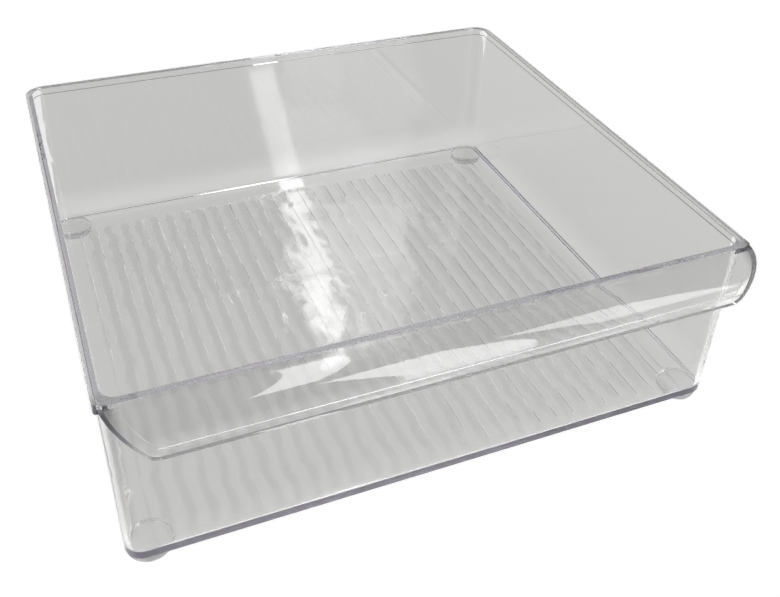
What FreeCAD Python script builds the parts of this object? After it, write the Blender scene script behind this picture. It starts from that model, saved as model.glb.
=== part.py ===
import FreeCAD, Part
import math
import os
import Sketcher
from FreeCAD import Vector

# Clear fridge bin: one moulded tray with a curled handle lip, standing on four soft feet.
# Millimetres. X runs across the bin, -Y is the handle side, +Z is up, and Z = 0 is the shelf.
# The origin lies under the middle of the whole bin's bounding box.

doc = FreeCAD.newDocument("fridge_bin")

# ---------------------------------------------------------------------------------------------
# Driving dimensions. Each row is (alias, value, what it is).

SIZES = [
    # tray
    ("rim_width", 318.0, "overall width over the rim band"),
    ("rim_depth", 291.6, "front wall face to the back of the rim band"),
    ("tray_height", 98.4, "underside of the tray to the top of the rim"),
    ("wall_thickness", 2.4, "side, front and rear walls"),
    ("floor_thickness", 2.6, "floor between the ribs"),
    ("draft_angle", 0.35, "draft of every wall, degrees"),
    ("corner_radius", 9.5, "outer radius of the upright corners at the rim"),
    ("floor_fillet", 2.5, "inside round between floor and walls"),
    ("base_round", 0.8, "outside round under the walls"),
    # rim band
    ("band_step", 1.5, "how far the rim band stands out from the walls"),
    ("band_height", 4.8, "height of the rim band"),
    ("band_corner", 1.5, "radius of the rim band's front corners"),
    ("rim_round", 0.4, "small round on the rim's inner and outer edges"),
    # handle lip
    ("lip_radius", 18.4, "outer radius of the curled lip"),
    ("lip_thickness", 2.4, "wall of the curled lip"),
    ("lip_end_inset", 1.6, "where each slanting end starts, in from the rim's side"),
    ("lip_end_angle", 47.0, "slant of the lip's ends seen from the front, degrees"),
    ("lip_corner_radius", 8.0, "round between a slanting end and the lower edge"),
    ("hem_raise", 0.8, "how far the hem stands out from the lip"),
    ("hem_width", 5.0, "width of the hem along the lip's free edge"),
    # ribs
    ("rib_count", 29, "ribs on the floor"),
    ("rib_width", 4.4, "width of a rib on the floor"),
    ("rib_height", 0.5, "height of a rib over the floor"),
    ("rib_root", 0.6, "how deep a rib is rooted in the floor"),
    ("rib_side_gap", 14.8, "side wall to the middle of the outermost rib"),
    ("rib_front_gap", 3.4, "front wall to the ribs"),
    ("rib_rear_gap", 15.6, "rear wall to the ribs"),
    # feet
    ("foot_diameter", 22.0, "soft foot"),
    ("foot_height", 3.8, "shelf to the underside of the tray"),
    ("foot_chamfer", 0.9, "soft edge under the foot"),
    ("foot_inset", 11.4, "base edges to the middle of a foot"),
    ("peg_diameter", 7.0, "moulded peg that each foot is pressed on"),
    ("peg_length", 2.0, "peg below the tray"),
    ("peg_clearance", 0.1, "gap round the peg in the foot's bore"),
    ("bore_slack", 0.4, "bore below the end of the peg"),
    # construction
    ("overcut", 3.0, "how far a cutting profile runs past what it cuts"),
]

# Dimensions that follow from those above: (alias, formula).
DERIVED = [
    ("wall_width", "=rim_width - 2 * band_step"),
    ("wall_depth", "=rim_depth - band_step"),
    ("draft_run", "=tray_height * tan(draft_angle * 1deg)"),
    ("cavity_height", "=tray_height - floor_thickness"),
    ("cavity_run", "=cavity_height * tan(draft_angle * 1deg)"),
    ("nose_radius", "=min(band_corner; lip_end_inset - 0.1)"),
    ("hem_radius", "=lip_radius + hem_raise"),
    ("lip_reach", "=sqrt(hem_radius ^ 2 - hem_raise ^ 2)"),
    ("front_face", "=wall_depth / 2"),
    ("tray_shift", "=(lip_reach - band_step) / 2"),
    ("floor_half_width", "=wall_width / 2 - wall_thickness - cavity_run"),
    ("floor_half_depth", "=wall_depth / 2 - wall_thickness - cavity_run"),
    ("rib_span", "=2 * (floor_half_width - rib_side_gap)"),
    ("rib_radius", "=(rib_width ^ 2 / 4 + rib_height ^ 2) / (2 * rib_height)"),
    ("rib_front", "=floor_half_depth - rib_front_gap"),
    ("rib_rear", "=floor_half_depth - rib_rear_gap"),
    ("slant_shift", "=hem_width / sin(lip_end_angle * 1deg)"),
    ("slant_run", "=1 / tan(lip_end_angle * 1deg)"),
    ("slant_turn", "=tan(lip_end_angle * 0.5deg)"),
    ("trim_top", "=rim_width / 2 - lip_end_inset + overcut * slant_run"),
    ("trim_corner", "=rim_width / 2 - lip_end_inset - lip_radius * slant_run"),
    ("trim_foot", "=trim_corner - lip_corner_radius * slant_turn"),
    ("panel_radius", "=lip_corner_radius - hem_width"),
    ("panel_drop", "=lip_radius - hem_width"),
    ("panel_top", "=trim_top - slant_shift"),
    ("panel_foot", "=panel_top - (panel_drop + overcut) * slant_run - panel_radius * slant_turn"),
    ("foot_across", "=wall_width / 2 - draft_run - foot_inset"),
    ("foot_along", "=wall_depth / 2 - draft_run - foot_inset"),
    ("bore_radius", "=peg_diameter / 2 + peg_clearance"),
    ("bore_floor", "=foot_height - peg_length - bore_slack"),
]

sheet = doc.addObject("Spreadsheet::Sheet", "sizes")
line = 0
for alias, value, note in SIZES:
    line += 1
    sheet.set("A%d" % line, alias.replace("_", " "))
    sheet.set("B%d" % line, str(value))
    sheet.set("C%d" % line, note)
    sheet.setAlias("B%d" % line, alias)
for alias, formula in DERIVED:
    line += 1
    sheet.set("A%d" % line, alias.replace("_", " "))
    sheet.set("B%d" % line, formula)
    sheet.setAlias("B%d" % line, alias)
doc.recompute()


# ---------------------------------------------------------------------------------------------
# Small helpers for bodies, sketches and features


def cell(alias):
    """The value of a cell, to draw a sketch at its size before the constraints hold it there."""
    value = sheet.get(alias)
    return float(getattr(value, "Value", value))


def new_body(name):
    body = doc.addObject("PartDesign::Body", name)
    body.Label = name
    return body


def origin_item(body, role):
    return [item for item in body.Origin.OriginFeatures if item.Role == role][0]


def new_sketch(body, name, role, out=None):
    """A sketch on one of the body's own origin planes, lifted off it by the formula out."""
    sketch = body.newObject("Sketcher::SketchObject", name)
    sketch.AttachmentSupport = [(origin_item(body, role), "")]
    sketch.MapMode = "FlatFace"
    if out:
        sketch.setExpression(".AttachmentOffset.Base.z", out)
    return sketch


def add_line(sketch, start, end, lie=None):
    index = sketch.addGeometry(Part.LineSegment(Vector(*start, 0), Vector(*end, 0)))
    if lie:
        sketch.addConstraint(Sketcher.Constraint(lie, index))
    return index


def add_arc(sketch, centre, radius, start, end):
    """An arc about centre, anticlockwise from start to end in degrees."""
    circle = Part.Circle(Vector(*centre, 0), Vector(0, 0, 1), radius)
    return sketch.addGeometry(Part.ArcOfCircle(circle, math.radians(start), math.radians(end)))


def join(sketch, kind, *pairs):
    """Constraints of one kind between ends: each pair is (first, its end, second, its end)."""
    for pair in pairs:
        sketch.addConstraint(Sketcher.Constraint(kind, *pair))


def rule(sketch, formula, kind, *where):
    """A dimension that follows a formula on the sheet."""
    if kind == "Radius":
        now = sketch.Geometry[where[0]].Radius
    else:
        step = sketch.getPoint(where[2], where[3]) - sketch.getPoint(where[0], where[1])
        now = step.x if kind == "DistanceX" else step.y
    index = sketch.addConstraint(Sketcher.Constraint(kind, *where, now))
    sketch.setExpression("Constraints[%d]" % index, formula)


def right_of_origin(sketch, formula, index, end):
    rule(sketch, formula, "DistanceX", -1, 1, index, end)


def left_of_origin(sketch, formula, index, end):
    rule(sketch, formula, "DistanceX", index, end, -1, 1)


def above_origin(sketch, formula, index, end):
    rule(sketch, formula, "DistanceY", -1, 1, index, end)


def rounded_box(sketch, across, along, bend, width, depth, radius):
    """A rectangle about the origin with four equal round corners.

    across, along and bend are its half width, half depth and corner radius now; width, depth and
    radius are the formulas that hold them.
    """
    corners = []
    for sign_x, sign_y, start in ((1, 1, 0), (-1, 1, 90), (-1, -1, 180), (1, -1, 270)):
        centre = (sign_x * (across - bend), sign_y * (along - bend))
        corners.append(add_arc(sketch, centre, bend, start, start + 90))
    rear = add_line(sketch, (across - bend, along), (bend - across, along), "Horizontal")
    left = add_line(sketch, (-across, along - bend), (-across, bend - along), "Vertical")
    front = add_line(sketch, (bend - across, -along), (across - bend, -along), "Horizontal")
    right = add_line(sketch, (across, bend - along), (across, along - bend), "Vertical")
    sides = [rear, left, front, right]
    for index in range(4):
        join(sketch, "Tangent", (corners[index], 2, sides[index], 1))
        join(sketch, "Tangent", (sides[index], 2, corners[(index + 1) % 4], 1))
    for index in (1, 2, 3):
        sketch.addConstraint(Sketcher.Constraint("Equal", corners[0], corners[index]))
    sketch.addConstraint(Sketcher.Constraint("Symmetric", corners[0], 3, corners[2], 3, -1, 1))
    rule(sketch, radius, "Radius", corners[0])
    rule(sketch, width, "DistanceX", left, 1, right, 2)
    rule(sketch, depth, "DistanceY", front, 2, rear, 1)


def feature(body, kind, name, profile, **formulas):
    """A feature on a sketch, with its sizes bound to formulas on the sheet."""
    made = body.newObject("PartDesign::" + kind, name)
    made.Profile = profile
    for key, formula in formulas.items():
        made.setExpression(key, formula)
    profile.Visibility = False
    return made


def fillet(body, name, radius, base, test):
    """A fillet on the edges of base that pass the test."""
    names = ["Edge%d" % (number + 1) for number, edge in enumerate(base.Shape.Edges) if test(edge)]
    made = body.newObject("PartDesign::Fillet", name)
    made.Base = (base, names)
    made.setExpression("Radius", radius)
    doc.recompute()
    return made


def flat_at(height, across, along):
    """A test for level edges at a height, no further from the middle than across and along."""

    def test(edge):
        box = edge.BoundBox
        level = abs(box.ZMin - height) < 0.001 and abs(box.ZMax - height) < 0.001
        return level and max(box.XMax, -box.XMin) < across + 0.1 and max(box.YMax, -box.YMin) < along + 0.1

    return test


# ---------------------------------------------------------------------------------------------
# bin_tray. In the body's own frame Z = 0 is the underside and Y = 0 is midway between the walls.

tray = new_body("bin_tray")
tray.setExpression(".Placement.Base.y", "sizes.tray_shift")
tray.setExpression(".Placement.Base.z", "sizes.foot_height")

FACE = -cell("front_face")
TOP = cell("tray_height")
LOW = TOP - cell("lip_radius")
HALF = cell("rim_width") / 2
OVER = cell("overcut")


def lip_section(sketch, radius, radius_formula):
    """The curled lip in section, from the front wall's face out and down to its free edge.

    The outer arc leaves the rim level. The inner arc ends on the lip's lower edge, pointing down.
    """
    inner_radius = cell("lip_radius") - cell("lip_thickness")
    drop = math.asin((radius - cell("lip_radius")) / radius)
    outer = add_arc(sketch, (FACE, TOP - radius), radius, 90, 180 - math.degrees(drop))
    inner = add_arc(sketch, (FACE, LOW), inner_radius, 90, 180)
    root = add_line(sketch, (FACE, LOW + inner_radius), (FACE, TOP), "Vertical")
    edge = add_line(sketch, (FACE - radius * math.cos(drop), LOW), (FACE - inner_radius, LOW), "Horizontal")
    join(sketch, "Coincident", (root, 2, outer, 1), (root, 1, inner, 1))
    join(sketch, "Coincident", (outer, 2, edge, 1), (inner, 2, edge, 2))
    join(sketch, "Vertical", (outer, 3, root, 2), (inner, 3, root, 1))
    join(sketch, "Horizontal", (inner, 3, edge, 2))
    rule(sketch, radius_formula, "Radius", outer)
    rule(sketch, "sizes.lip_radius - sizes.lip_thickness", "Radius", inner)
    left_of_origin(sketch, "sizes.front_face", root, 2)
    above_origin(sketch, "sizes.tray_height", root, 2)
    above_origin(sketch, "sizes.tray_height - sizes.lip_radius", edge, 2)


# The roll at the thickness of its hem, over the full width
hem_section = new_sketch(tray, "hem_section", "YZ_Plane")
lip_section(hem_section, cell("hem_radius"), "sizes.hem_radius")
hem_roll = feature(tray, "Pad", "hem_roll", hem_section, Length="sizes.rim_width")
hem_roll.Midplane = True
doc.recompute()

# The field inside the hem is cut out of it: slanting ends that round into the hem's lower run
panel_outline = new_sketch(
    tray, "panel_outline", "XZ_Plane", "sizes.front_face + sizes.lip_reach + sizes.overcut"
)
PANEL_TOP = cell("panel_top")
PANEL_FOOT = cell("panel_foot")
PANEL_BEND = cell("panel_radius")
PANEL_LOW = TOP - cell("panel_drop")
SLANT = cell("lip_end_angle")
swing_x = PANEL_BEND * math.sin(math.radians(SLANT))
swing_y = PANEL_BEND * (1 - math.cos(math.radians(SLANT)))
upper = add_line(panel_outline, (PANEL_TOP, TOP + OVER), (-PANEL_TOP, TOP + OVER), "Horizontal")
lower = add_line(panel_outline, (-PANEL_FOOT, PANEL_LOW), (PANEL_FOOT, PANEL_LOW), "Horizontal")
centre_y = PANEL_LOW + PANEL_BEND
right_bend = add_arc(panel_outline, (PANEL_FOOT, centre_y), PANEL_BEND, 270, 270 + SLANT)
left_bend = add_arc(panel_outline, (-PANEL_FOOT, centre_y), PANEL_BEND, 270 - SLANT, 270)
right_slant = add_line(
    panel_outline, (PANEL_FOOT + swing_x, PANEL_LOW + swing_y), (PANEL_TOP, TOP + OVER)
)
left_slant = add_line(
    panel_outline, (-PANEL_TOP, TOP + OVER), (-PANEL_FOOT - swing_x, PANEL_LOW + swing_y)
)
join(panel_outline, "Coincident", (right_slant, 2, upper, 1), (upper, 2, left_slant, 1))
join(panel_outline, "Tangent", (lower, 2, right_bend, 1), (right_bend, 2, right_slant, 1))
join(panel_outline, "Tangent", (left_slant, 2, left_bend, 1), (left_bend, 2, lower, 1))
rule(panel_outline, "sizes.panel_radius", "Radius", right_bend)
rule(panel_outline, "sizes.panel_radius", "Radius", left_bend)
right_of_origin(panel_outline, "sizes.panel_top", upper, 1)
left_of_origin(panel_outline, "sizes.panel_top", upper, 2)
right_of_origin(panel_outline, "sizes.panel_foot", lower, 2)
left_of_origin(panel_outline, "sizes.panel_foot", lower, 1)
above_origin(panel_outline, "sizes.tray_height + sizes.overcut", upper, 1)
above_origin(panel_outline, "sizes.tray_height - sizes.panel_drop", lower, 1)
panel = feature(tray, "Pocket", "panel", panel_outline, Length="sizes.lip_reach + sizes.overcut")
doc.recompute()

# The roll itself, thinner, fills the field
roll_section = new_sketch(tray, "roll_section", "YZ_Plane")
lip_section(roll_section, cell("lip_radius"), "sizes.lip_radius")
lip_roll = feature(tray, "Pad", "lip_roll", roll_section, Length="sizes.rim_width")
lip_roll.Midplane = True
doc.recompute()

# Both ends of the lip are cut at a slant that rounds into its lower edge
trim_outline = new_sketch(
    tray, "trim_outline", "XZ_Plane", "sizes.front_face + sizes.lip_reach + sizes.overcut"
)
TRIM_TOP = cell("trim_top")
TRIM_FOOT = cell("trim_foot")
TRIM_BEND = cell("lip_corner_radius")
swing_x = TRIM_BEND * math.sin(math.radians(SLANT))
swing_y = TRIM_BEND * (1 - math.cos(math.radians(SLANT)))
slant = add_line(trim_outline, (TRIM_TOP, TOP + OVER), (TRIM_FOOT + swing_x, LOW + swing_y))
bend = add_arc(trim_outline, (TRIM_FOOT, LOW + TRIM_BEND), TRIM_BEND, 270, 270 + SLANT)
down = add_line(trim_outline, (TRIM_FOOT, LOW), (TRIM_FOOT, LOW - OVER), "Vertical")
under = add_line(trim_outline, (TRIM_FOOT, LOW - OVER), (HALF + 3 * OVER, LOW - OVER), "Horizontal")
aside = add_line(trim_outline, (HALF + 3 * OVER, LOW - OVER), (HALF + 3 * OVER, TOP + OVER), "Vertical")
above = add_line(trim_outline, (HALF + 3 * OVER, TOP + OVER), (TRIM_TOP, TOP + OVER), "Horizontal")
join(trim_outline, "Tangent", (slant, 2, bend, 2))
join(trim_outline, "Coincident", (bend, 1, down, 1), (down, 2, under, 1), (under, 2, aside, 1))
join(trim_outline, "Coincident", (aside, 2, above, 1), (above, 2, slant, 1))
join(trim_outline, "Vertical", (bend, 3, down, 1))
rule(trim_outline, "sizes.lip_corner_radius", "Radius", bend)
right_of_origin(trim_outline, "sizes.trim_top", slant, 1)
above_origin(trim_outline, "sizes.tray_height + sizes.overcut", slant, 1)
right_of_origin(trim_outline, "sizes.trim_foot", down, 1)
above_origin(trim_outline, "sizes.tray_height - sizes.lip_radius", down, 1)
rule(trim_outline, "sizes.overcut", "DistanceY", down, 2, down, 1)
right_of_origin(trim_outline, "sizes.rim_width / 2 + 3 * sizes.overcut", aside, 1)
trim = feature(tray, "Pocket", "trim_right", trim_outline, Length="sizes.lip_reach + sizes.overcut")
doc.recompute()

trim_both = tray.newObject("PartDesign::Mirrored", "trim_left")
trim_both.Originals = [trim]
trim_both.MirrorPlane = (origin_item(tray, "YZ_Plane"), [""])
tray.Tip = trim_both
doc.recompute()

# The drafted walls hang down from the rim as one solid block
wall_outline = new_sketch(tray, "wall_outline", "XY_Plane", "sizes.tray_height")
rounded_box(
    wall_outline,
    cell("wall_width") / 2,
    cell("wall_depth") / 2,
    cell("corner_radius"),
    "sizes.wall_width",
    "sizes.wall_depth",
    "sizes.corner_radius",
)
walls = feature(
    tray, "Pad", "walls", wall_outline, Length="sizes.tray_height", TaperAngle="-sizes.draft_angle"
)
walls.Reversed = True
doc.recompute()

# The rim band stands out on both sides and the back, and runs square into the lip at the front
band_outline = new_sketch(tray, "band_outline", "XY_Plane", "sizes.tray_height")
BACK = cell("wall_depth") / 2 + cell("band_step")
TURN = cell("corner_radius") + cell("band_step")
NOSE = cell("nose_radius")
front = add_line(band_outline, (NOSE - HALF, FACE), (HALF - NOSE, FACE), "Horizontal")
right_nose = add_arc(band_outline, (HALF - NOSE, FACE + NOSE), NOSE, 270, 360)
right = add_line(band_outline, (HALF, FACE + NOSE), (HALF, BACK - TURN), "Vertical")
right_corner = add_arc(band_outline, (HALF - TURN, BACK - TURN), TURN, 0, 90)
rear = add_line(band_outline, (HALF - TURN, BACK), (TURN - HALF, BACK), "Horizontal")
left_corner = add_arc(band_outline, (TURN - HALF, BACK - TURN), TURN, 90, 180)
left = add_line(band_outline, (-HALF, BACK - TURN), (-HALF, FACE + NOSE), "Vertical")
left_nose = add_arc(band_outline, (NOSE - HALF, FACE + NOSE), NOSE, 180, 270)
join(band_outline, "Tangent", (front, 2, right_nose, 1), (right_nose, 2, right, 1))
join(band_outline, "Tangent", (right, 2, right_corner, 1), (right_corner, 2, rear, 1))
join(band_outline, "Tangent", (rear, 2, left_corner, 1), (left_corner, 2, left, 1))
join(band_outline, "Tangent", (left, 2, left_nose, 1), (left_nose, 2, front, 1))
join(band_outline, "Equal", (right_corner, left_corner), (right_nose, left_nose))
rule(band_outline, "sizes.corner_radius + sizes.band_step", "Radius", right_corner)
rule(band_outline, "sizes.nose_radius", "Radius", right_nose)
right_of_origin(band_outline, "sizes.rim_width / 2", right, 1)
left_of_origin(band_outline, "sizes.rim_width / 2", left, 1)
rule(band_outline, "sizes.rim_depth", "DistanceY", front, 1, rear, 2)
rule(band_outline, "sizes.front_face", "DistanceY", front, 1, -1, 1)
rim_band = feature(tray, "Pad", "rim_band", band_outline, Length="sizes.band_height")
rim_band.Reversed = True
doc.recompute()

# The inside is taken out from the rim down to the floor, with the same draft
cavity_outline = new_sketch(tray, "cavity_outline", "XY_Plane", "sizes.tray_height")
rounded_box(
    cavity_outline,
    cell("wall_width") / 2 - cell("wall_thickness"),
    cell("wall_depth") / 2 - cell("wall_thickness"),
    cell("corner_radius") - cell("wall_thickness"),
    "sizes.wall_width - 2 * sizes.wall_thickness",
    "sizes.wall_depth - 2 * sizes.wall_thickness",
    "sizes.corner_radius - sizes.wall_thickness",
)
cavity = feature(
    tray, "Pocket", "cavity", cavity_outline, Length="sizes.cavity_height", TaperAngle="-sizes.draft_angle"
)
doc.recompute()

# Moulded rounds: inside the floor, outside the base, and on the rim
floor_round = fillet(
    tray,
    "floor_round",
    "sizes.floor_fillet",
    cavity,
    flat_at(cell("floor_thickness"), cell("floor_half_width"), cell("floor_half_depth")),
)
base_round = fillet(
    tray,
    "base_round_edge",
    "sizes.base_round",
    floor_round,
    flat_at(0.0, HALF, -FACE),
)


def rim_outside(edge):
    """The rim's outer top edges along both sides and the rear."""
    box = edge.BoundBox
    level = abs(box.ZMin - TOP) < 0.001 and abs(box.ZMax - TOP) < 0.001
    beside = max(box.XMax, -box.XMin) > HALF - 0.01
    behind = box.YMax > cell("rim_depth") + FACE - 0.01
    return level and (beside or behind) and box.YMax > FACE + cell("nose_radius") + 0.01


rim_edge = fillet(tray, "rim_edge", "sizes.rim_round", base_round, rim_outside)
mouth_round = fillet(
    tray,
    "mouth_round",
    "sizes.rim_round",
    rim_edge,
    flat_at(TOP, cell("wall_width") / 2 - cell("wall_thickness"), -FACE - cell("wall_thickness")),
)

# Low round-topped ribs run from front to back on the floor, evenly spread across it
rib_profile = new_sketch(tray, "rib_profile", "XZ_Plane", "sizes.rib_front")
RIB_X = -cell("rib_span") / 2
RIB_HALF = cell("rib_width") / 2
RIB_FOOT = cell("floor_thickness")
RIB_ROOT = RIB_FOOT - cell("rib_root")
rib_radius = cell("rib_radius")
crest_turn = math.degrees(math.asin(RIB_HALF / rib_radius))
crest = add_arc(
    rib_profile,
    (RIB_X, RIB_FOOT + cell("rib_height") - rib_radius),
    rib_radius,
    90 - crest_turn,
    90 + crest_turn,
)
rib_left = add_line(rib_profile, (RIB_X - RIB_HALF, RIB_FOOT), (RIB_X - RIB_HALF, RIB_ROOT), "Vertical")
rib_base = add_line(rib_profile, (RIB_X - RIB_HALF, RIB_ROOT), (RIB_X + RIB_HALF, RIB_ROOT), "Horizontal")
rib_right = add_line(rib_profile, (RIB_X + RIB_HALF, RIB_ROOT), (RIB_X + RIB_HALF, RIB_FOOT), "Vertical")
join(rib_profile, "Coincident", (crest, 2, rib_left, 1), (rib_left, 2, rib_base, 1))
join(rib_profile, "Coincident", (rib_base, 2, rib_right, 1), (rib_right, 2, crest, 1))
join(rib_profile, "Horizontal", (crest, 1, crest, 2))
rule(rib_profile, "sizes.rib_radius", "Radius", crest)
rule(rib_profile, "sizes.rib_width", "DistanceX", rib_base, 1, rib_base, 2)
left_of_origin(rib_profile, "sizes.rib_span / 2 + sizes.rib_width / 2", rib_base, 1)
above_origin(rib_profile, "sizes.floor_thickness - sizes.rib_root", rib_base, 1)
above_origin(rib_profile, "sizes.floor_thickness", crest, 2)
first_rib = feature(tray, "Pad", "first_rib", rib_profile, Length="sizes.rib_front + sizes.rib_rear")
first_rib.Reversed = True
doc.recompute()

ribs = tray.newObject("PartDesign::LinearPattern", "ribs")
ribs.Originals = [first_rib]
ribs.Direction = (rib_profile, ["H_Axis"])
ribs.setExpression("Length", "sizes.rib_span")
ribs.setExpression("Occurrences", "sizes.rib_count")
tray.Tip = ribs
doc.recompute()

# Four short pegs under the floor carry the feet
peg_outline = new_sketch(tray, "peg_outline", "XY_Plane")
first_circle = None
for side_x in (-1, 1):
    for side_y in (-1, 1):
        centre = Vector(side_x * cell("foot_across"), side_y * cell("foot_along"), 0)
        circle = peg_outline.addGeometry(Part.Circle(centre, Vector(0, 0, 1), cell("peg_diameter") / 2))
        if side_x < 0:
            left_of_origin(peg_outline, "sizes.foot_across", circle, 3)
        else:
            right_of_origin(peg_outline, "sizes.foot_across", circle, 3)
        if side_y < 0:
            rule(peg_outline, "sizes.foot_along", "DistanceY", circle, 3, -1, 1)
        else:
            above_origin(peg_outline, "sizes.foot_along", circle, 3)
        rule(peg_outline, "sizes.peg_diameter / 2", "Radius", circle)
pegs = feature(tray, "Pad", "pegs", peg_outline, Length="sizes.peg_length")
pegs.Reversed = True
doc.recompute()

# ---------------------------------------------------------------------------------------------
# Feet. Each is a soft disc with a rounded lower edge, pressed on a peg by a blind bore.


def make_foot(name, across, along):
    """A foot about its own Z axis, standing on Z = 0, put at a corner by its placement."""
    body = new_body(name)
    body.setExpression(".Placement.Base.x", across)
    body.setExpression(".Placement.Base.y", along)
    radius = cell("foot_diameter") / 2
    height = cell("foot_height")
    bevel = cell("foot_chamfer")
    bore = cell("bore_radius")
    bore_floor = cell("bore_floor")
    profile = new_sketch(body, name + "_profile", "XZ_Plane")
    bottom = add_line(profile, (0, 0), (radius - bevel, 0), "Horizontal")
    corner = add_line(profile, (radius - bevel, 0), (radius, bevel))
    side = add_line(profile, (radius, bevel), (radius, height), "Vertical")
    seat = add_line(profile, (radius, height), (bore, height), "Horizontal")
    bore_side = add_line(profile, (bore, height), (bore, bore_floor), "Vertical")
    bore_end = add_line(profile, (bore, bore_floor), (0, bore_floor), "Horizontal")
    axis_line = add_line(profile, (0, bore_floor), (0, 0), "Vertical")
    join(profile, "Coincident", (bottom, 2, corner, 1), (corner, 2, side, 1))
    join(profile, "Coincident", (side, 2, seat, 1), (seat, 2, bore_side, 1), (bore_side, 2, bore_end, 1))
    join(profile, "Coincident", (bore_end, 2, axis_line, 1), (axis_line, 2, bottom, 1))
    join(profile, "Coincident", (bottom, 1, -1, 1))
    rule(profile, "sizes.foot_chamfer", "DistanceX", corner, 1, corner, 2)
    rule(profile, "sizes.foot_chamfer", "DistanceY", corner, 1, corner, 2)
    right_of_origin(profile, "sizes.foot_diameter / 2", side, 2)
    above_origin(profile, "sizes.foot_height", side, 2)
    right_of_origin(profile, "sizes.bore_radius", bore_side, 1)
    above_origin(profile, "sizes.bore_floor", bore_side, 2)
    disc = body.newObject("PartDesign::Revolution", name + "_disc")
    disc.Profile = profile
    disc.ReferenceAxis = (profile, ["V_Axis"])
    disc.Angle = 360.0
    profile.Visibility = False
    doc.recompute()
    return body


feet = [
    make_foot("foot_front_left", "-sizes.foot_across", "sizes.tray_shift - sizes.foot_along"),
    make_foot("foot_front_right", "sizes.foot_across", "sizes.tray_shift - sizes.foot_along"),
    make_foot("foot_rear_left", "-sizes.foot_across", "sizes.tray_shift + sizes.foot_along"),
    make_foot("foot_rear_right", "sizes.foot_across", "sizes.tray_shift + sizes.foot_along"),
]

# ---------------------------------------------------------------------------------------------
# Checks, then one STEP file for each sub-part

doc.recompute()
for item in doc.Objects:
    if "Invalid" in item.State or "Error" in item.State:
        raise RuntimeError("%s failed: %s" % (item.Name, item.State))

subparts = [tray] + feet
for body in subparts:
    shape = body.Shape
    if shape.isNull() or not shape.isValid():
        raise RuntimeError("%s has no valid shape" % body.Label)
    if len(shape.Solids) != 1:
        raise RuntimeError("%s has %d solids" % (body.Label, len(shape.Solids)))

os.makedirs("parts", exist_ok=True)
for body in subparts:
    body.Shape.exportStep("parts/%s.step" % body.Label)
    box = body.Shape.BoundBox
    print(
        "%-18s volume %10.1f  x %8.2f %8.2f  y %8.2f %8.2f  z %7.2f %7.2f"
        % (body.Label, body.Shape.Volume, box.XMin, box.XMax, box.YMin, box.YMax, box.ZMin, box.ZMax)
    )
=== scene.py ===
import bpy
import bmesh
import math
from mathutils import Matrix, Vector


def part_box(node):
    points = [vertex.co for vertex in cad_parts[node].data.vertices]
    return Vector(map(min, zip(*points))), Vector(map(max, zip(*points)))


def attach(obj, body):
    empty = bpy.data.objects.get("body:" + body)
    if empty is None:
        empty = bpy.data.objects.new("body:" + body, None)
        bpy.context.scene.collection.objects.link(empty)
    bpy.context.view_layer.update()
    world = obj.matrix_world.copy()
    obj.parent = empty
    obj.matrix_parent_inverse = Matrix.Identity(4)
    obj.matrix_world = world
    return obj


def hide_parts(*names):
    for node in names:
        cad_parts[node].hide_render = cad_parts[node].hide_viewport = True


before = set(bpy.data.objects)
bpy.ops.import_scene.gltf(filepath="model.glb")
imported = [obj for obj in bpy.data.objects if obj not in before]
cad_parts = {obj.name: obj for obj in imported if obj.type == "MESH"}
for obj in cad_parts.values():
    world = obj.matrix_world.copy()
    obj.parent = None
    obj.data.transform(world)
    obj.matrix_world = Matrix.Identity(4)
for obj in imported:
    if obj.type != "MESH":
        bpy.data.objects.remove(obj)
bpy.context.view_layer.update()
scene = bpy.context.scene

# sizes are in metres, and angles in degrees unless a comment says otherwise
MM = 0.001


# ---------------------------------------------------------------------------
# Nodes as sums
# ---------------------------------------------------------------------------

class Value:
    """What comes out of a socket, ready to be used in a sum."""

    def __init__(self, recipe, socket):
        self.recipe = recipe
        self.socket = socket

    def work(self, operation, *values):
        return self.recipe.add("ShaderNodeMath", {"operation": operation}, dict(enumerate(values)))

    def __add__(self, other):
        return self.work("ADD", self, other)

    def __radd__(self, other):
        return self.work("ADD", other, self)

    def __sub__(self, other):
        return self.work("SUBTRACT", self, other)

    def __rsub__(self, other):
        return self.work("SUBTRACT", other, self)

    def __mul__(self, other):
        return self.work("MULTIPLY", self, other)

    def __rmul__(self, other):
        return self.work("MULTIPLY", other, self)

    def __truediv__(self, other):
        return self.work("DIVIDE", self, other)

    def __rtruediv__(self, other):
        return self.work("DIVIDE", other, self)

    def root(self):
        return self.work("SQRT", self)

    def cosine(self):
        return self.work("COSINE", self)

    def rounded(self):
        return self.work("ROUND", self)

    def unsigned(self):
        return self.work("ABSOLUTE", self)

    def sign(self):
        return self.work("SIGN", self)

    def at_most(self, other):
        return self.work("MINIMUM", self, other)

    def at_least(self, other):
        return self.work("MAXIMUM", self, other)

    def ramp(self, low, high, start=0.0, end=1.0):
        """From start at low to end at high with soft ends; low may be the larger of the two."""
        return self.recipe.add(
            "ShaderNodeMapRange", {"interpolation_type": "SMOOTHSTEP"},
            {"Value": self, "From Min": low, "From Max": high, "To Min": start, "To Max": end})

    def part(self, axis):
        """How far a place lies along the axis X, Y or Z."""
        return self.recipe.add("ShaderNodeSeparateXYZ", sockets={0: self}, out=axis)


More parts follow.
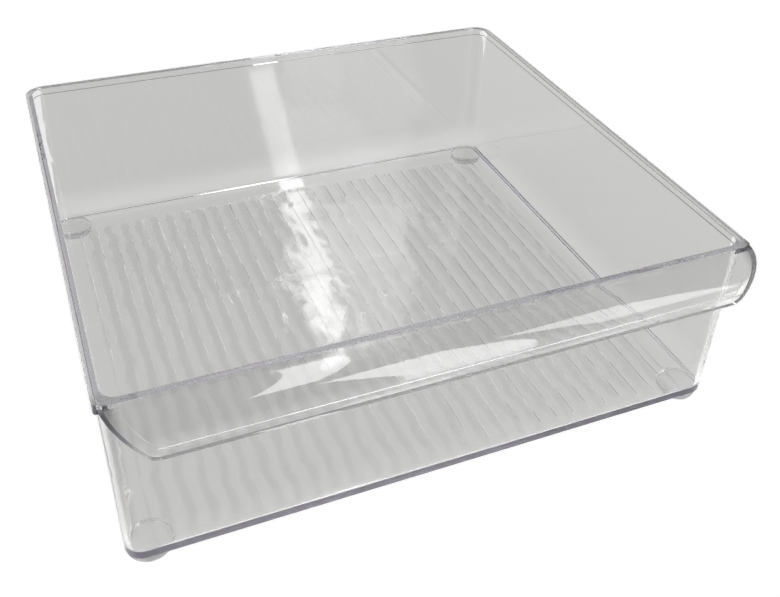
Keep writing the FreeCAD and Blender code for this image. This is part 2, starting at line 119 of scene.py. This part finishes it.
class Recipe:
    """The nodes of one material, lamp, world or shape, laid out by code."""

    def __init__(self, tree):
        self.tree = tree
        self.tree.nodes.clear()

    def add(self, kind, settings=None, sockets=None, out=0):
        """A new node with its settings and its sockets' values or links, as the value of one output."""
        node = self.tree.nodes.new(kind)
        for name, value in (settings or {}).items():
            setattr(node, name, value)
        for name, value in (sockets or {}).items():
            if isinstance(value, Value):
                self.tree.links.new(value.socket, node.inputs[name])
            else:
                node.inputs[name].default_value = value
        return Value(self, node.outputs[out]) if node.outputs else None

    def place(self, x=0.0, y=0.0, z=0.0):
        return self.add("ShaderNodeCombineXYZ", sockets={"X": x, "Y": y, "Z": z})

    def noise(self, place, scale, detail, roughness=0.5):
        """A cloudy pattern that wavers about one half."""
        return self.add("ShaderNodeTexNoise",
                        sockets={"Vector": place, "Scale": scale, "Detail": detail, "Roughness": roughness})

    def blend(self, share, first, second):
        """The first colour where the share is nothing and the second where it is one."""
        return self.add("ShaderNodeMix", {"data_type": "RGBA"}, {0: share, "A": first, "B": second}, out=2)


def recipe_of(owner):
    owner.use_nodes = True
    return Recipe(owner.node_tree)


def new_material(name):
    material = bpy.data.materials.new(name)
    return material, recipe_of(material)


def placed(name, data):
    """A new object in the scene."""
    thing = bpy.data.objects.new(name, data)
    scene.collection.objects.link(thing)
    return thing


def grey(level):
    return (level, level, level, 1)


# ---------------------------------------------------------------------------
# Camera
# ---------------------------------------------------------------------------

CAMERA_PLACE = Vector((-0.1607, -0.4228, 0.3709))
NEAREST_SEEN = 10 * MM

# radians
CAMERA_TURN = -0.4095
CAMERA_TILT = -0.5916
CAMERA_ROLL = -0.0355

# pixels of a frame that is this wide
FRAME_WIDTH = 780.0
FOCAL_LENGTH = 956.65
AXIS_ABOVE_MIDDLE = 78.5


def stand_camera():
    """The camera looks down into the bin from its front left."""
    data = bpy.data.cameras.new("camera")
    data.lens = FOCAL_LENGTH / FRAME_WIDTH * data.sensor_width
    data.shift_y = -AXIS_ABOVE_MIDDLE / FRAME_WIDTH
    data.clip_start = NEAREST_SEEN
    camera = placed("camera", data)
    camera.matrix_world = (
        Matrix.Translation(CAMERA_PLACE)
        @ Matrix.Rotation(CAMERA_TURN, 4, "Z")
        @ Matrix.Rotation(CAMERA_TILT, 4, "X")
        @ Matrix.Rotation(CAMERA_ROLL, 4, "Y")
        @ Matrix.Rotation(math.pi / 2, 4, "X")
    )
    scene.camera = camera
    scene.view_settings.view_transform = "Standard"


# ---------------------------------------------------------------------------
# Studio
# ---------------------------------------------------------------------------

FLOOR_HALF = 6.0
FLOOR_DROP = 0.3 * MM
FLOOR_COLOUR = 0.85
FLOOR_ROUGHNESS = 0.06
FLOOR_GLOW = 0.585
GLOW_COLOUR = (1, 1, 0.98, 1)

# a fade goes from the first number to the second, as the height or depth of a direction
SKY_FILL = 0.09
CEILING_FADE = (0.06, 0.38)
CEILING_LEVEL = 0.27
FRONT_FADE = (-0.75, -0.92)
FRONT_LEVEL = 0.6

KEY_LEVEL = 0.48
KEY_RADIUS = 4 * MM
FLATTEST_FALL = 0.1

BIN_MIDDLE = Vector((0, 0, 30 * MM))
PANE_DISTANCE = 6.0
UP = Vector((0, 0, 1))
REARWARD = Vector((0, 1, 0))


def seen_or_mirrored(recipe):
    """One for the camera and for what glass and gloss show, nothing for light that falls on things."""
    seen, glossy, through = (recipe.add("ShaderNodeLightPath", out=name)
                             for name in ("Is Camera Ray", "Is Glossy Ray", "Is Transmission Ray"))
    return (seen + glossy + through).at_most(1.0)


def studio_floor():
    """A pale floor that keeps the bin's shadow; its glow is seen but lights nothing."""
    material, recipe = new_material("pale_floor")
    paint = recipe.add("ShaderNodeBsdfPrincipled",
                       sockets={"Base Color": grey(FLOOR_COLOUR), "Roughness": FLOOR_ROUGHNESS})
    glow = recipe.add("ShaderNodeEmission",
                      sockets={"Color": GLOW_COLOUR, "Strength": seen_or_mirrored(recipe) * FLOOR_GLOW})
    glowing = recipe.add("ShaderNodeAddShader", sockets={0: paint, 1: glow})
    recipe.add("ShaderNodeOutputMaterial", sockets={"Surface": glowing})
    mesh = bpy.data.meshes.new("studio_floor")
    corners = ((-1, -1), (1, -1), (1, 1), (-1, 1))
    mesh.from_pydata([(x * FLOOR_HALF, y * FLOOR_HALF, -FLOOR_DROP) for x, y in corners], [], [(0, 1, 2, 3)])
    mesh.materials.append(material)
    placed("studio_floor", mesh)


def studio_sky():
    """White to the camera; in glass and gloss it is greyer overhead and low on the camera's side."""
    scene.world = bpy.data.worlds.new("studio_sky")
    recipe = recipe_of(scene.world)
    way = recipe.add("ShaderNodeTexCoord", out="Generated")
    shade = (way.part("Z").ramp(*CEILING_FADE, 1.0, CEILING_LEVEL)
             * way.part("Y").ramp(*FRONT_FADE, 1.0, FRONT_LEVEL))
    in_view = recipe.add("ShaderNodeLightPath", out="Is Camera Ray")
    shown = in_view + (1 - in_view) * shade
    level = SKY_FILL + seen_or_mirrored(recipe) * (shown - SKY_FILL)
    sky = recipe.add("ShaderNodeBackground", sockets={"Color": grey(1.0), "Strength": level})
    recipe.add("ShaderNodeOutputWorld", sockets={"Surface": sky})


def key_lamp():
    """The main lamp stands where the camera does, so the bin's shadow lies behind the bin.

    It lights the floor evenly, because its light is stronger where it falls at a flatter angle.
    Incoming is the way in which the lamp's light leaves it.
    """
    data = bpy.data.lights.new("key", "POINT")
    data.shadow_soft_size = KEY_RADIUS
    data.energy = KEY_LEVEL * 4 * math.pi * math.pi
    recipe = recipe_of(data)
    steady = recipe.add("ShaderNodeLightFalloff", sockets={"Strength": 1.0}, out="Constant")
    fall = recipe.add("ShaderNodeNewGeometry", out="Incoming").part("Z") * -1
    light = recipe.add("ShaderNodeEmission", sockets={"Strength": steady / fall.at_least(FLATTEST_FALL)})
    recipe.add("ShaderNodeOutputLight", sockets={"Surface": light})
    lamp = placed("key", data)
    lamp.location = CAMERA_PLACE
    lamp.visible_glossy = False
    lamp.visible_transmission = False


def heading(azimuth, elevation):
    """A direction from the bin, azimuth 0 straight behind it and turning to its right."""
    turn, lift = math.radians(azimuth), math.radians(elevation)
    return Vector((math.sin(turn) * math.cos(lift), math.cos(turn) * math.cos(lift), math.sin(lift)))


def pane_side(angle):
    """How wide a pane is that takes up this angle as the bin sees it."""
    return 2 * PANE_DISTANCE * math.tan(math.radians(angle / 2))


def pane(name, azimuth, elevation, across, up, level, lean=0.0, rise=UP):
    """A bright pane that shows only as a reflection; across and up are angles as the bin sees them."""
    data = bpy.data.lights.new(name, "AREA")
    data.shape = "RECTANGLE"
    data.size = pane_side(across)
    data.size_y = pane_side(up)
    data.energy = level * data.size * data.size_y * math.pi
    way = heading(azimuth, elevation)
    side = rise.cross(way).normalized()
    facing = Matrix((side, way.cross(side), way)).transposed() @ Matrix.Rotation(math.radians(lean), 3, "Z")
    lamp = placed(name, data)
    lamp.location = BIN_MIDDLE + way * PANE_DISTANCE
    lamp.rotation_euler = facing.to_euler()
    lamp.visible_diffuse = False


def bright_panes():
    """Two panes behind the bin shine in its floor; two in front and one overhead shine in its handle lip."""
    pane("rear_window", azimuth=16.5, elevation=32.5, across=1.6, up=19.0, level=2.5, lean=13)
    pane("rear_curtain", azimuth=21.5, elevation=37.0, across=6.0, up=9.0, level=0.6)
    pane("front_window", azimuth=158.5, elevation=17, across=9.0, up=50.0, level=3.7)
    pane("side_window", azimuth=145.5, elevation=23, across=8.5, up=28.0, level=3.0)
    pane("ceiling_strip", azimuth=130, elevation=74, across=4.5, up=54.0, level=3.6, rise=REARWARD)


# ---------------------------------------------------------------------------
# Sizes of the bin
# ---------------------------------------------------------------------------

HUNDREDTH_MM = 5  # decimals of a metre

foot_low, foot_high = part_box("foot_front_right")
rear_foot_low, rear_foot_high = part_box("foot_rear_right")

FOOT_HEIGHT = round(foot_high.z, HUNDREDTH_MM)
FOOT_RADIUS = round((foot_high.x - foot_low.x) / 2, HUNDREDTH_MM)
FOOT_ACROSS = round((foot_high.x + foot_low.x) / 2, HUNDREDTH_MM)
FOOT_FRONT = round((foot_high.y + foot_low.y) / 2, HUNDREDTH_MM)
FOOT_REAR = round((rear_foot_high.y + rear_foot_low.y) / 2, HUNDREDTH_MM)
FOOT_GAP = 0.06 * MM

FLOOR_THICKNESS = 2.6 * MM
FLOOR_TOP = FOOT_HEIGHT + FLOOR_THICKNESS

RIB_COUNT = 29
RIB_PITCH = 9.98 * MM
RIB_WIDTH = 4.4 * MM
CAD_RIB_HEIGHT = 0.5 * MM
SHOWN_RIB_HEIGHT = 0.2 * MM
RIB_SHOULDER = 0.24 * MM
RIB_SWAY = 1.3 * MM
RIB_FADE = 2 * MM
RIB_FIELD_HALF = RIB_COUNT * RIB_PITCH / 2
RIB_FIELD_FRONT = -129.8 * MM
RIB_FIELD_REAR = 135.3 * MM


# ---------------------------------------------------------------------------
# Materials
# ---------------------------------------------------------------------------

# where the plastic's ribbed field, with its painted shade between the ribs, fades in, from the first place
# to the second
FIELD_SIDE = (RIB_FIELD_HALF, RIB_FIELD_HALF - 2 * MM)
FIELD_FRONT = (RIB_FIELD_FRONT - 1 * MM, RIB_FIELD_FRONT + 2 * MM)
FIELD_REAR = (RIB_FIELD_REAR + 2 * MM, RIB_FIELD_REAR - 4 * MM)
FIELD_TOP = (FLOOR_TOP + 2 * MM, FLOOR_TOP + 1 * MM)
# the painted shade of the walls, the rear wall and the front corners fades in between these places
WALL_FOOT = (10 * MM, 30 * MM)
REAR_WALL = (144.8 * MM, 150.8 * MM)
CORNER_SIDE = (148 * MM, 156 * MM)
CORNER_FRONT = (-127.2 * MM, -134.7 * MM)

PLASTIC_INDEX = 1.55
PLASTIC_DEPTH_COLOUR = (0.50, 0.47, 0.58, 1)
PLASTIC_DENSITY = 4.8
# the plastic is greyed towards this by painted shade and by a random cloudy tone
DARKEST_SHADE_AND_TONE = 0.45
# painted shade in the valleys between the ribs
VALLEY_SHADE = 0.19
CLOUD_TINT = 0.06
# painted shade in the upright walls
WALL_SHADE = 0.14
# more painted shade in the rear wall
REAR_SHADE = 0.13
# painted shade at the front upright corners
CORNER_SHADE = 0.75
WALL_WAVER = 0.45
RIB_RIPPLE = 0.4
FLOW_DEPTH = 0.4 * MM
STRIPE_SWAY = 7 * MM
STRIPE_EDGE = 0.9
POLISH = 0.02
RIB_HAZE = 0.03
CUT_HAZE = 0.4


def clear_moulding():
    """Clear plastic with a moulding's slow waver, and painted shade that greys it between the ribs, in the
    walls and at the front corners.
    """
    material, recipe = new_material("clear_moulding")
    place = recipe.add("ShaderNodeTexCoord", out="Object")
    across, along, height = (place.part(axis) for axis in "XYZ")
    beside = across.unsigned()
    field = (beside.ramp(*FIELD_SIDE) * along.ramp(*FIELD_FRONT) * along.ramp(*FIELD_REAR)
             * height.ramp(*FIELD_TOP))
    # painted shade in the upright walls, growing above the floor
    wall = height.ramp(*WALL_FOOT)
    # more painted shade in the rear wall
    rear = along.ramp(*REAR_WALL) * wall
    # painted shade at the front upright corners
    corner = beside.ramp(*CORNER_SIDE) * along.ramp(*CORNER_FRONT) * wall

    waver = recipe.noise(place, scale=20.0, detail=1.0, roughness=0.4)
    ripple = recipe.noise(place, scale=62.0, detail=1.0)
    swell = waver * (WALL_WAVER + field * (1 - WALL_WAVER)) + ripple * field * RIB_RIPPLE
    flow = recipe.add("ShaderNodeBump", sockets={"Height": swell, "Strength": 1.0, "Distance": FLOW_DEPTH})

    # the stripes are painted shade in the valleys between the ribs
    turn = (across + (ripple - 0.5) * STRIPE_SWAY) * (2 * math.pi / RIB_PITCH)
    stripe = turn.cosine().ramp(-STRIPE_EDGE, STRIPE_EDGE)
    cloud = recipe.noise(place, scale=9.0, detail=2.0)
    # painted shade between the ribs, in the walls, the rear wall and the front corners, with a random cloudy
    # tone
    painted_shade_and_tone = (field * (1 - stripe) * VALLEY_SHADE + cloud * CLOUD_TINT + wall * WALL_SHADE
            + rear * REAR_SHADE + corner * CORNER_SHADE)
    cut = recipe.add("ShaderNodeAttribute", {"attribute_name": "cut_end"}, out="Fac")
    plastic = recipe.add(
        "ShaderNodeBsdfPrincipled",
        sockets={"Base Color": recipe.blend(painted_shade_and_tone, grey(1.0), grey(DARKEST_SHADE_AND_TONE)),
                 "Roughness": POLISH + field * stripe * RIB_HAZE + cut * CUT_HAZE,
                 "IOR": PLASTIC_INDEX, "Transmission Weight": 1.0, "Normal": flow})
    depth = recipe.add("ShaderNodeVolumeAbsorption",
                       sockets={"Color": PLASTIC_DEPTH_COLOUR, "Density": PLASTIC_DENSITY})
    recipe.add("ShaderNodeOutputMaterial", sockets={"Surface": plastic, "Volume": depth})
    return material


FOOT_INDEX = 1.38
FOOT_TINT = 0.97
# painted shade greys the foot's side towards this, between the heights below
FOOT_SIDE_SHADE = 0.62
FOOT_SIDE_FOOT = (0.1 * MM, 0.4 * MM)
FOOT_SIDE_TOP = (3.7 * MM, 3.4 * MM)
GRAIN_TINT = 0.2
FOOT_HAZE = 0.12
GRAIN_HAZE = 0.1
SKIN_STRENGTH = 0.15
SKIN_DEPTH = 0.3 * MM


def frosted_foot():
    """Soft clear plastic with a dull skin, and painted shade round its side broken by grain."""
    material, recipe = new_material("frosted_foot")
    place = recipe.add("ShaderNodeTexCoord", out="Object")
    grain = recipe.noise(place, scale=900.0, detail=2.0, roughness=0.6)
    height = place.part("Z")
    side = height.ramp(*FOOT_SIDE_FOOT) * height.ramp(*FOOT_SIDE_TOP)
    # painted shade round the side, broken up by the grain
    painted_shade_and_tone = side * ((1 - GRAIN_TINT) + grain * GRAIN_TINT)
    skin = recipe.add("ShaderNodeBump",
                      sockets={"Height": grain, "Strength": SKIN_STRENGTH, "Distance": SKIN_DEPTH})
    plastic = recipe.add(
        "ShaderNodeBsdfPrincipled",
        sockets={"Base Color": recipe.blend(painted_shade_and_tone, grey(FOOT_TINT), grey(FOOT_SIDE_SHADE)),
                 "Roughness": FOOT_HAZE + grain * GRAIN_HAZE,
                 "IOR": FOOT_INDEX, "Transmission Weight": 1.0, "Normal": skin})
    recipe.add("ShaderNodeOutputMaterial", sockets={"Surface": plastic})
    return material


# ---------------------------------------------------------------------------
# Shapes that follow a rule
# ---------------------------------------------------------------------------

def opened_shape(name, *inputs):
    """A new tree of shape nodes with named number inputs and a material input."""
    tree = bpy.data.node_groups.new(name, "GeometryNodeTree")
    recipe = Recipe(tree)
    tree.interface.new_socket("Geometry", in_out="OUTPUT", socket_type="NodeSocketGeometry")
    for title in inputs:
        tree.interface.new_socket(title, in_out="INPUT", socket_type="NodeSocketFloat")
    tree.interface.new_socket("Material", in_out="INPUT", socket_type="NodeSocketMaterial")
    sockets = recipe.add("NodeGroupInput").socket.node.outputs
    return recipe, {title: Value(recipe, sockets[title]) for title in inputs + ("Material",)}


def closed_shape(recipe, shape, material):
    """The finished tree, which gives a real mesh of one material."""
    real = recipe.add("GeometryNodeRealizeInstances", sockets={"Geometry": shape})
    done = recipe.add("GeometryNodeSetMaterial", sockets={"Geometry": real, "Material": material})
    recipe.add("NodeGroupOutput", sockets={"Geometry": done})
    return recipe.tree


def grid(recipe, given, half_width, level, columns, rows):
    """A flat grid between the Front and Rear inputs, at a level."""
    flat = recipe.add("GeometryNodeMeshGrid",
                      sockets={"Size X": half_width * 2, "Size Y": given["Rear"] - given["Front"],
                               "Vertices X": columns, "Vertices Y": rows})
    middle = recipe.place(y=(given["Rear"] + given["Front"]) * 0.5, z=level)
    return recipe.add("GeometryNodeTransform", sockets={"Geometry": flat, "Translation": middle})


def grown(name, tree, values):
    """A plain mesh object from a tree of shape nodes, with its inputs set by their names."""
    seed = placed(name + "_seed", bpy.data.meshes.new(name + "_seed"))
    rule = seed.modifiers.new(name, "NODES")
    rule.node_group = tree
    for item in tree.interface.items_tree:
        if item.in_out == "INPUT" and item.name in values:
            rule[item.identifier] = values[item.name]
    mesh = bpy.data.meshes.new_from_object(seed.evaluated_get(bpy.context.evaluated_depsgraph_get()))
    bpy.data.objects.remove(seed)
    mesh.name = name
    return placed(name, mesh)


RIB_COLUMNS = 6
COLUMN = 1 / RIB_COLUMNS
SHEET_ROWS = 120
SWAY_SCALE = 70.0
SHEET_BORDER = 0.1 * MM
JUST_UNDER_ONE = 0.9999


def rib_sheet_shape():
    """A sheet with flat-topped ribs from front to rear, whose edges sway and whose ends fade out."""
    recipe, given = opened_shape("ribbed_floor", "Half Width", "Front", "Rear", "Level", "Pitch",
                                 "Rib Width", "Shoulder", "Height", "Sway", "Fade")
    sheet = grid(recipe, given, given["Half Width"], given["Level"], RIB_COUNT * RIB_COLUMNS + 1, SHEET_ROWS)
    place = recipe.add("GeometryNodeInputPosition")
    across = place.part("X")
    along = place.part("Y")
    # which rib a point belongs to, the inner one if it lies midway, and how far out it stands, in pitches
    rib = (across / given["Pitch"] * JUST_UNDER_ONE).rounded()
    offset = across / given["Pitch"] - rib
    out = offset.unsigned()
    # the first column of the grid is half a rib, the second its shoulder, the third half a valley
    half = given["Rib Width"] * 0.5
    valley = given["Pitch"] * 0.5 - half - given["Shoulder"]
    stand = (out.ramp(0, COLUMN) * half + out.ramp(COLUMN, 2 * COLUMN) * given["Shoulder"]
             + out.ramp(2 * COLUMN, 3 * COLUMN) * valley)
    sway = (recipe.noise(place, SWAY_SCALE, detail=1.0) - 0.5) * given["Sway"]
    near_edge = out.ramp(0, COLUMN) * out.ramp(3 * COLUMN, 2 * COLUMN)
    moved = rib * given["Pitch"] + offset.sign() * stand + sway * near_edge
    border = given["Half Width"] - across.unsigned()
    ends = (((along - given["Front"]) / given["Fade"]).ramp(0, 1)
            * ((given["Rear"] - along) / given["Fade"]).ramp(0, 1) * border.ramp(0, SHEET_BORDER))
    rise = out.ramp(2 * COLUMN, COLUMN) * ends * given["Height"]
    spot = recipe.place(moved, along, rise + given["Level"])
    ribbed = recipe.add("GeometryNodeSetPosition", sockets={"Geometry": sheet, "Position": spot})
    return closed_shape(recipe, ribbed, given["Material"])


def rib_sheet(material):
    return grown("rib_sheet", rib_sheet_shape(), {
        "Half Width": RIB_FIELD_HALF, "Front": RIB_FIELD_FRONT, "Rear": RIB_FIELD_REAR, "Level": FLOOR_TOP,
        "Pitch": RIB_PITCH, "Rib Width": RIB_WIDTH, "Shoulder": RIB_SHOULDER, "Height": SHOWN_RIB_HEIGHT,
        "Sway": RIB_SWAY, "Fade": RIB_FADE, "Material": material})


FOOT_FACETS = 72
FOOT_LAYERS = 22
FOOT_EDGE = 0.5 * MM
RING_DEPTH = 0.16 * MM
RING_PITCH = 0.95 * MM
FOOT_CREASE = 50


def feet_shape():
    """One foot with a rounded lower edge and fine rings round its side, set at four corners."""
    recipe, given = opened_shape("corner_feet", "Radius", "Height", "Edge", "Ring Depth", "Ring Pitch",
                                 "Across", "Front", "Rear")
    disc = recipe.add("GeometryNodeMeshCylinder", {"fill_type": "NGON"},
                      {"Vertices": FOOT_FACETS, "Side Segments": FOOT_LAYERS, "Fill Segments": 1,
                       "Radius": given["Radius"], "Depth": given["Height"]})
    place = recipe.add("GeometryNodeInputPosition")
    up = place.part("Z") + given["Height"] * 0.5
    # how far the side draws in: a quarter round at the bottom, and the rings
    short = (given["Edge"] - up).at_least(0.0)
    quarter_round = given["Edge"] - (given["Edge"] * given["Edge"] - short * short).root()
    ring = (up * (2 * math.pi) / given["Ring Pitch"]).cosine()
    inset = quarter_round + (1 - ring) * given["Ring Depth"] * 0.5
    scale = 1 - inset / given["Radius"]
    drawn_in = recipe.add("ShaderNodeVectorMath", {"operation": "MULTIPLY"},
                          {0: place, 1: recipe.place(scale, scale, 1.0)})
    turned = recipe.add("GeometryNodeSetPosition", sockets={"Geometry": disc, "Position": drawn_in})
    smooth = recipe.add("GeometryNodeSetShadeSmooth", sockets={"Geometry": turned})
    corners = grid(recipe, given, given["Across"], given["Height"] * 0.5, 2, 2)
    feet = recipe.add("GeometryNodeInstanceOnPoints", sockets={"Points": corners, "Instance": smooth})
    return closed_shape(recipe, feet, given["Material"])


def soft_feet(material):
    """Solid feet without their bores, just clear of the bin's underside."""
    feet = grown("soft_feet", feet_shape(), {
        "Radius": FOOT_RADIUS, "Height": FOOT_HEIGHT - FOOT_GAP, "Edge": FOOT_EDGE,
        "Ring Depth": RING_DEPTH, "Ring Pitch": RING_PITCH,
        "Across": FOOT_ACROSS, "Front": FOOT_FRONT, "Rear": FOOT_REAR, "Material": material})
    feet.data.set_sharp_from_angle(angle=math.radians(FOOT_CREASE))
    return feet


# ---------------------------------------------------------------------------
# The bin, from its CAD solid
# ---------------------------------------------------------------------------

MERGE_REACH = 0.002 * MM
PEG_START = FOOT_HEIGHT - 0.1 * MM
LEVEL_SLACK = 0.01 * MM
RIB_SLACK = 0.05 * MM
END_SLACK = 0.5 * MM
BIN_CREASE = 31
LIP_START = -137.5 * MM
CUT_LEAN = 0.55


def open_edges(work):
    return [edge for edge in work.edges if edge.is_boundary]


def on_ribbed_floor(face):
    """Whether a face is part of the floor's upper side, flat or rib, inside the fillet."""
    places = [corner.co for corner in face.verts]
    level = all(abs(place.z - FLOOR_TOP) < LEVEL_SLACK for place in places)
    rib = all(abs(place.x) < RIB_FIELD_HALF
              and RIB_FIELD_FRONT - END_SLACK < place.y < RIB_FIELD_REAR + END_SLACK
              and FLOOR_TOP - LEVEL_SLACK < place.z < FLOOR_TOP + CAD_RIB_HEIGHT + RIB_SLACK
              for place in places)
    return level or rib


def take_off_pegs(work):
    """Cut off the pegs that lie hidden in the feet, and close the underside."""
    pegs = [point for point in work.verts if point.co.z < PEG_START]
    bmesh.ops.delete(work, geom=pegs, context="VERTS")
    bmesh.ops.holes_fill(work, edges=open_edges(work), sides=0)


def lay_rib_sheet(work, sheet):
    """Put the sheet in the place of the floor's upper side, and fill what is open round it."""
    bmesh.ops.delete(work, geom=[face for face in work.faces if on_ribbed_floor(face)], context="FACES")
    work.from_mesh(sheet.data)
    bpy.data.objects.remove(sheet)
    bmesh.ops.triangle_fill(work, edges=open_edges(work), use_beauty=True)
    bmesh.ops.recalc_face_normals(work, faces=work.faces)


def mark_creases(work):
    for face in work.faces:
        face.smooth = True
        face.material_index = 0
    for edge in work.edges:
        edge.smooth = edge.calc_face_angle(math.pi) < math.radians(BIN_CREASE)


def mark_cut_ends(work):
    """Note the handle lip's two cut ends, which are duller than the moulded skin."""
    cut_end = work.faces.layers.float.new("cut_end")
    for face in work.faces:
        on_lip = face.calc_center_median().y < LIP_START
        face[cut_end] = float(on_lip and abs(face.normal.x) > CUT_LEAN)


def clear_bin(material):
    """The moulding from the CAD solid, joined up, with low swaying ribs on its floor."""
    work = bmesh.new()
    work.from_mesh(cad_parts["bin_tray"].data)
    bmesh.ops.remove_doubles(work, verts=work.verts, dist=MERGE_REACH)
    take_off_pegs(work)
    lay_rib_sheet(work, rib_sheet(material))
    mark_creases(work)
    mark_cut_ends(work)
    mesh = bpy.data.meshes.new("clear_bin")
    work.to_mesh(mesh)
    work.free()
    # the solid's own normals no longer fit its faces
    mesh.attributes.remove(mesh.attributes["custom_normal"])
    mesh.materials.append(material)
    piece = placed("clear_bin", mesh)
    weighted = piece.modifiers.new("even_faces", "WEIGHTED_NORMAL")
    weighted.keep_sharp = True
    return piece


# ---------------------------------------------------------------------------
# Everything in its place
# ---------------------------------------------------------------------------

CLEAR_BOUNCES = 200
DIFFUSE_BOUNCES = 3


def ridden(piece, slot, *nodes):
    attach(piece, "root")
    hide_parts(*nodes)


def let_light_through():
    """A ray crosses many clear faces on its way along a wall or round the lip."""
    scene.cycles.max_bounces = CLEAR_BOUNCES
    scene.cycles.transmission_bounces = CLEAR_BOUNCES
    scene.cycles.glossy_bounces = CLEAR_BOUNCES
    scene.cycles.diffuse_bounces = DIFFUSE_BOUNCES
    scene.cycles.caustics_refractive = False
    scene.cycles.caustics_reflective = False


stand_camera()
studio_floor()
studio_sky()
key_lamp()
bright_panes()
let_light_through()

ridden(clear_bin(clear_moulding()), "clear_tray", "bin_tray")
ridden(soft_feet(frosted_foot()), "soft_foot",
       "foot_front_left", "foot_front_right", "foot_rear_left", "foot_rear_right")
